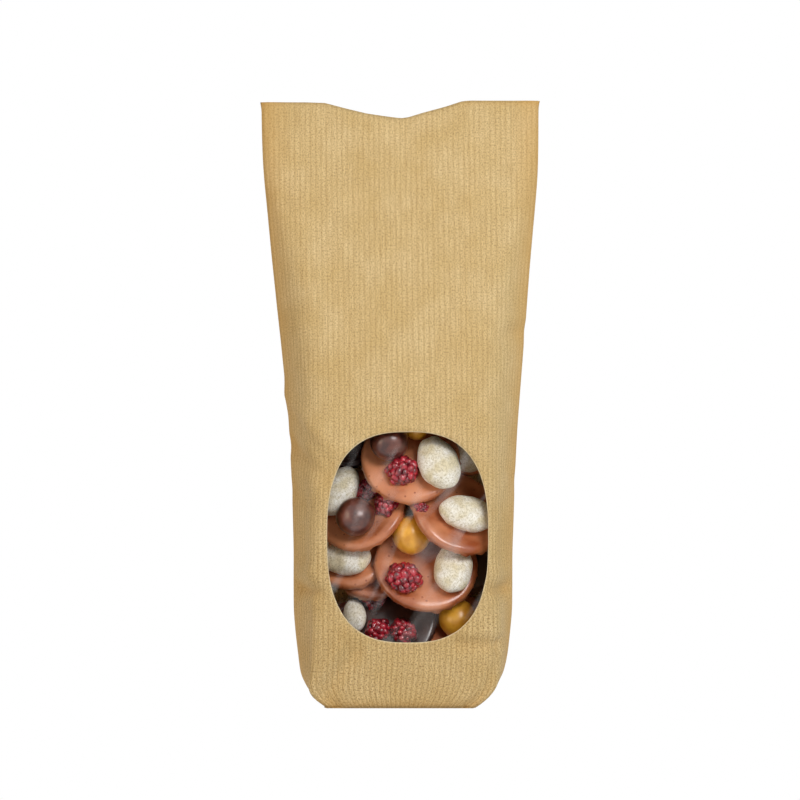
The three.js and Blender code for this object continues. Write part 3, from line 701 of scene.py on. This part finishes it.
# Tempered chocolate poured on a sheet and left to set: satin, with a soft bloom of other patches and
# a few small pits from bubbles.
def pouredChocolate(name):
    look = chocolate[name]
    material, tree, shader = newMaterial(name, {
        "Roughness": look["roughness"], "IOR": 1.46, "Coat Weight": look["coat"], "Coat Roughness": 0.22})
    place = node(tree, "ShaderNodeTexCoord").outputs["Object"]
    bloom = node(tree, "ShaderNodeTexNoise", {"Vector": place, "Scale": 1 / (chocolate["bloomSize"] * mm),
                                             "Detail": 5.0}).outputs[0]
    patchy = node(tree, "ShaderNodeMapRange", {"Value": bloom, "From Min": 0.36, "From Max": 0.62}).outputs[0]
    bubbleScale = 1 / (chocolate["bubbleSize"] * mm)
    bubbles = node(tree, "ShaderNodeTexVoronoi", {"Vector": place, "Scale": bubbleScale}).outputs[0]
    pits = node(tree, "ShaderNodeMapRange", {"Value": bubbles, "From Min": 0.05, "From Max": 0.16}).outputs[0]
    colour = linear(look["ground"])
    for share in (patchy, pits):
        colour = node(tree, "ShaderNodeMix", {0: share, 6: linear(look["patch"]), 7: colour},
                      data_type="RGBA").outputs[2]
    tree.links.new(colour, shader.inputs["Base Color"])
    flow = node(tree, "ShaderNodeBump", {"Height": bloom, "Strength": 0.3, "Distance": 0.6 * mm}).outputs[0]
    pitted = node(tree, "ShaderNodeBump", {"Height": pits, "Strength": 0.25, "Distance": 0.2 * mm,
                                          "Normal": flow}).outputs[0]
    tree.links.new(pitted, shader.inputs["Normal"])
    return material


panned = {
    "dark_panned_chocolate": {"ground": "#6f3a2b", "patch": "#421f18", "roughness": 0.3},
    "golden_panned_chocolate": {"ground": "#f2b43c", "patch": "#dc9728", "roughness": 0.34},
    "dimpleSize": 4.35,
}


# A hazelnut panned in dark or coloured chocolate and polished: glossy, with faint dimples from the
# tumbling drum.
def polishedShell(name):
    look = panned[name]
    material, tree, shader = newMaterial(name, {
        "Roughness": look["roughness"], "IOR": 1.48, "Coat Weight": 0.6, "Coat Roughness": 0.3})
    place = node(tree, "ShaderNodeTexCoord").outputs["Object"]
    dimples = node(tree, "ShaderNodeTexNoise", {"Vector": place, "Scale": 1 / (panned["dimpleSize"] * mm),
                                               "Detail": 4.0}).outputs[0]
    mottled = node(tree, "ShaderNodeMapRange", {"Value": dimples, "From Min": 0.35, "From Max": 0.62}).outputs[0]
    colour = node(tree, "ShaderNodeMix", {0: mottled, 6: linear(look["patch"]), 7: linear(look["ground"])},
                  data_type="RGBA").outputs[2]
    tree.links.new(colour, shader.inputs["Base Color"])
    dimpled = node(tree, "ShaderNodeBump", {"Height": dimples, "Strength": 0.18, "Distance": 0.4 * mm}).outputs[0]
    tree.links.new(dimpled, shader.inputs["Normal"])
    return material


berrySkin = {"folded": "#5c0e1a", "skin": "#c9283c", "wrinkleSize": 2.38}


# Freeze-dried raspberry: crimson skins that dried into wrinkles, nearly black in the folds, with a
# moist shine.
def driedRaspberry():
    material, tree, shader = newMaterial("freeze_dried_raspberry", {
        "Roughness": 0.34, "IOR": 1.45, "Coat Weight": 0.8, "Coat Roughness": 0.15})
    place = node(tree, "ShaderNodeTexCoord").outputs["Object"]
    skins = node(tree, "ShaderNodeTexNoise", {"Vector": place, "Scale": 1 / (berrySkin["wrinkleSize"] * mm),
                                             "Detail": 4.0}).outputs[0]
    spread = node(tree, "ShaderNodeMapRange", {"Value": skins, "From Min": 0.38, "From Max": 0.66}).outputs[0]
    colour = node(tree, "ShaderNodeMix", {0: spread, 6: linear(berrySkin["folded"]), 7: linear(berrySkin["skin"])},
                  data_type="RGBA").outputs[2]
    tree.links.new(colour, shader.inputs["Base Color"])
    wrinkled = node(tree, "ShaderNodeBump", {"Height": skins, "Strength": 0.5, "Distance": 0.4 * mm}).outputs[0]
    tree.links.new(wrinkled, shader.inputs["Normal"])
    return material


sugar = {"hollow": "#e6dbbb", "ground": "#fffcf2", "bare": "#b0a27c", "grainSize": 0.769, "hollowSize": 5.26}


# An almond panned in sugar and dusted: dry and matte, off-white, speckled where the grains have
# worn through, with darker hollows. Single grains are too fine to show, so clumps of them are drawn.
def dustedSugarShell():
    material, tree, shader = newMaterial("dusted_sugar_shell", {"Roughness": 0.62, "IOR": 1.5, "Sheen Weight": 0.15})
    place = node(tree, "ShaderNodeTexCoord").outputs["Object"]
    grains = node(tree, "ShaderNodeTexNoise", {"Vector": place, "Scale": 1 / (sugar["grainSize"] * mm), "Detail": 4.0,
                                              "Roughness": 0.7}).outputs[0]
    hollows = node(tree, "ShaderNodeTexNoise", {"Vector": place, "Scale": 1 / (sugar["hollowSize"] * mm),
                                               "Detail": 3.0}).outputs[0]
    shaded = node(tree, "ShaderNodeMapRange", {"Value": hollows, "From Min": 0.36, "From Max": 0.6}).outputs[0]
    ground = node(tree, "ShaderNodeMix", {0: shaded, 6: linear(sugar["hollow"]), 7: linear(sugar["ground"])},
                  data_type="RGBA").outputs[2]
    covered = node(tree, "ShaderNodeMapRange", {"Value": grains, "From Min": 0.34, "From Max": 0.56,
                                               "To Min": 0.25}).outputs[0]
    speckled = node(tree, "ShaderNodeMix", {0: covered, 6: linear(sugar["bare"]), 7: ground},
                    data_type="RGBA").outputs[2]
    tree.links.new(speckled, shader.inputs["Base Color"])
    coarse = node(tree, "ShaderNodeBump", {"Height": hollows, "Strength": 0.4, "Distance": 0.6 * mm}).outputs[0]
    fine = node(tree, "ShaderNodeBump", {"Height": grains, "Strength": 0.4, "Distance": 0.2 * mm,
                                        "Normal": coarse}).outputs[0]
    tree.links.new(fine, shader.inputs["Normal"])
    return material


poured = {name: pouredChocolate(name) for name in ("milk_chocolate", "dark_chocolate")}
darkShell, goldenShell = polishedShell("dark_panned_chocolate"), polishedShell("golden_panned_chocolate")
berry, sugared = driedRaspberry(), dustedSugarShell()
darkDiscs = ("_bottom", "_right_edge", "_upper_left", "_back_low_right", "_back_high")

for seed, name in enumerate(sorted(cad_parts)):
    if name.startswith("chocolate_disc"):
        slotName = "dark_chocolate" if name.endswith(darkDiscs) else "milk_chocolate"
        buildDisc(name, poured[slotName], seed)
    elif name.startswith("dark_hazelnut"):
        buildRounded(name, darkShell, seed, unevenness["nut"])
    elif name.startswith("golden_hazelnut"):
        buildRounded(name, goldenShell, seed, unevenness["nut"])
    elif name.startswith("sugared_almond"):
        buildRounded(name, sugared, seed, unevenness["almond"])
    elif name.startswith("raspberry"):
        buildRaspberry(name, berry, seed)
print("sweets done")


# Floor, light and camera

# 1 for rays that come from the camera, or that gloss or glass sends on, and 0 for the light itself.
def seenDirectly(tree):
    rays = node(tree, "ShaderNodeLightPath").outputs
    glossy = node(tree, "ShaderNodeMath", {0: rays["Is Camera Ray"], 1: rays["Is Glossy Ray"]}, operation="MAXIMUM")
    seen = node(tree, "ShaderNodeMath", {0: glossy.outputs[0], 1: rays["Is Transmission Ray"]}, operation="MAXIMUM")
    return seen.outputs[0]


studio = {"floorSize": 1.2, "floorColour": "#e6e6e6", "floorDrop": 0.2, "worldLight": 0.27}

bm = bmesh.new()
bmesh.ops.create_grid(bm, x_segments=2, y_segments=2, size=studio["floorSize"])
floorMesh = bpy.data.meshes.new("floor")
bm.to_mesh(floorMesh)
bm.free()
floorMaterial, floorTree, floorShader = newMaterial("white_paper_floor", {
    "Base Color": linear(studio["floorColour"]), "Roughness": 0.9})
glow = node(floorTree, "ShaderNodeEmission", {"Color": (1, 1, 1, 1), "Strength": 1.0}).outputs[0]
mixed = node(floorTree, "ShaderNodeMixShader", {0: seenDirectly(floorTree), 1: floorShader.outputs[0], 2: glow})
floorTree.links.new(mixed.outputs[0], floorTree.nodes["Material Output"].inputs[0])
floorMesh.materials.append(floorMaterial)
floor = bpy.data.objects.new("floor", floorMesh)
floor.location.z = -studio["floorDrop"] * mm
bpy.context.scene.collection.objects.link(floor)

world = bpy.data.worlds.new("studio")
bpy.context.scene.world = world
world.use_nodes = True
background = world.node_tree.nodes["Background"]
background.inputs["Color"].default_value = (1, 1, 1, 1)
level = node(world.node_tree, "ShaderNodeMapRange", {"Value": seenDirectly(world.node_tree),
                                                    "To Min": studio["worldLight"], "To Max": 1.0})
world.node_tree.links.new(level.outputs[0], background.inputs["Strength"])

# The lamps light a colour about as it is written. Sizes and places are in metres.
softboxes = {
    "key": {"place": (0.6, -1.05, 0.78), "aim": (0, 0, 0.14), "size": (0.6, 0.5), "watts": 10.8, "colour": "#ffffff"},
    "fill": {"place": (-0.95, -0.7, 0.35), "aim": (0, 0, 0.12), "size": (0.5, 0.8), "watts": 3.4, "colour": "#ffe6c4"},
    "back": {"place": (0.2, 0.9, 0.8), "aim": (0, 0, 0.15), "size": (0.8, 0.5), "watts": 5.0, "colour": "#ffffff"},
}
for name, box in softboxes.items():
    light = bpy.data.lights.new(name, "AREA")
    light.shape = "RECTANGLE"
    light.size, light.size_y = box["size"]
    light.energy = box["watts"]
    light.color = linear(box["colour"])[:3]
    lamp = bpy.data.objects.new(name, light)
    lamp.location = box["place"]
    lamp.rotation_euler = (Vector(box["aim"]) - Vector(box["place"])).to_track_quat("-Z", "Y").to_euler()
    bpy.context.scene.collection.objects.link(lamp)

# The camera looks straight at the front. The image width is that of the photograph at the bag, in metres.
view = {"distance": 1.5, "imageWidth": 0.3416, "height": 0.1302, "sensor": 36}
cameraData = bpy.data.cameras.new("camera")
cameraData.sensor_width = view["sensor"]
cameraData.lens = view["sensor"] * view["distance"] / view["imageWidth"]
camera = bpy.data.objects.new("camera", cameraData)
camera.location = (0, -view["distance"], view["height"])
camera.rotation_euler = (math.pi / 2, 0, 0)
bpy.context.scene.collection.objects.link(camera)
bpy.context.scene.camera = camera
bpy.context.scene.view_settings.view_transform = "Standard"

print("scene done")
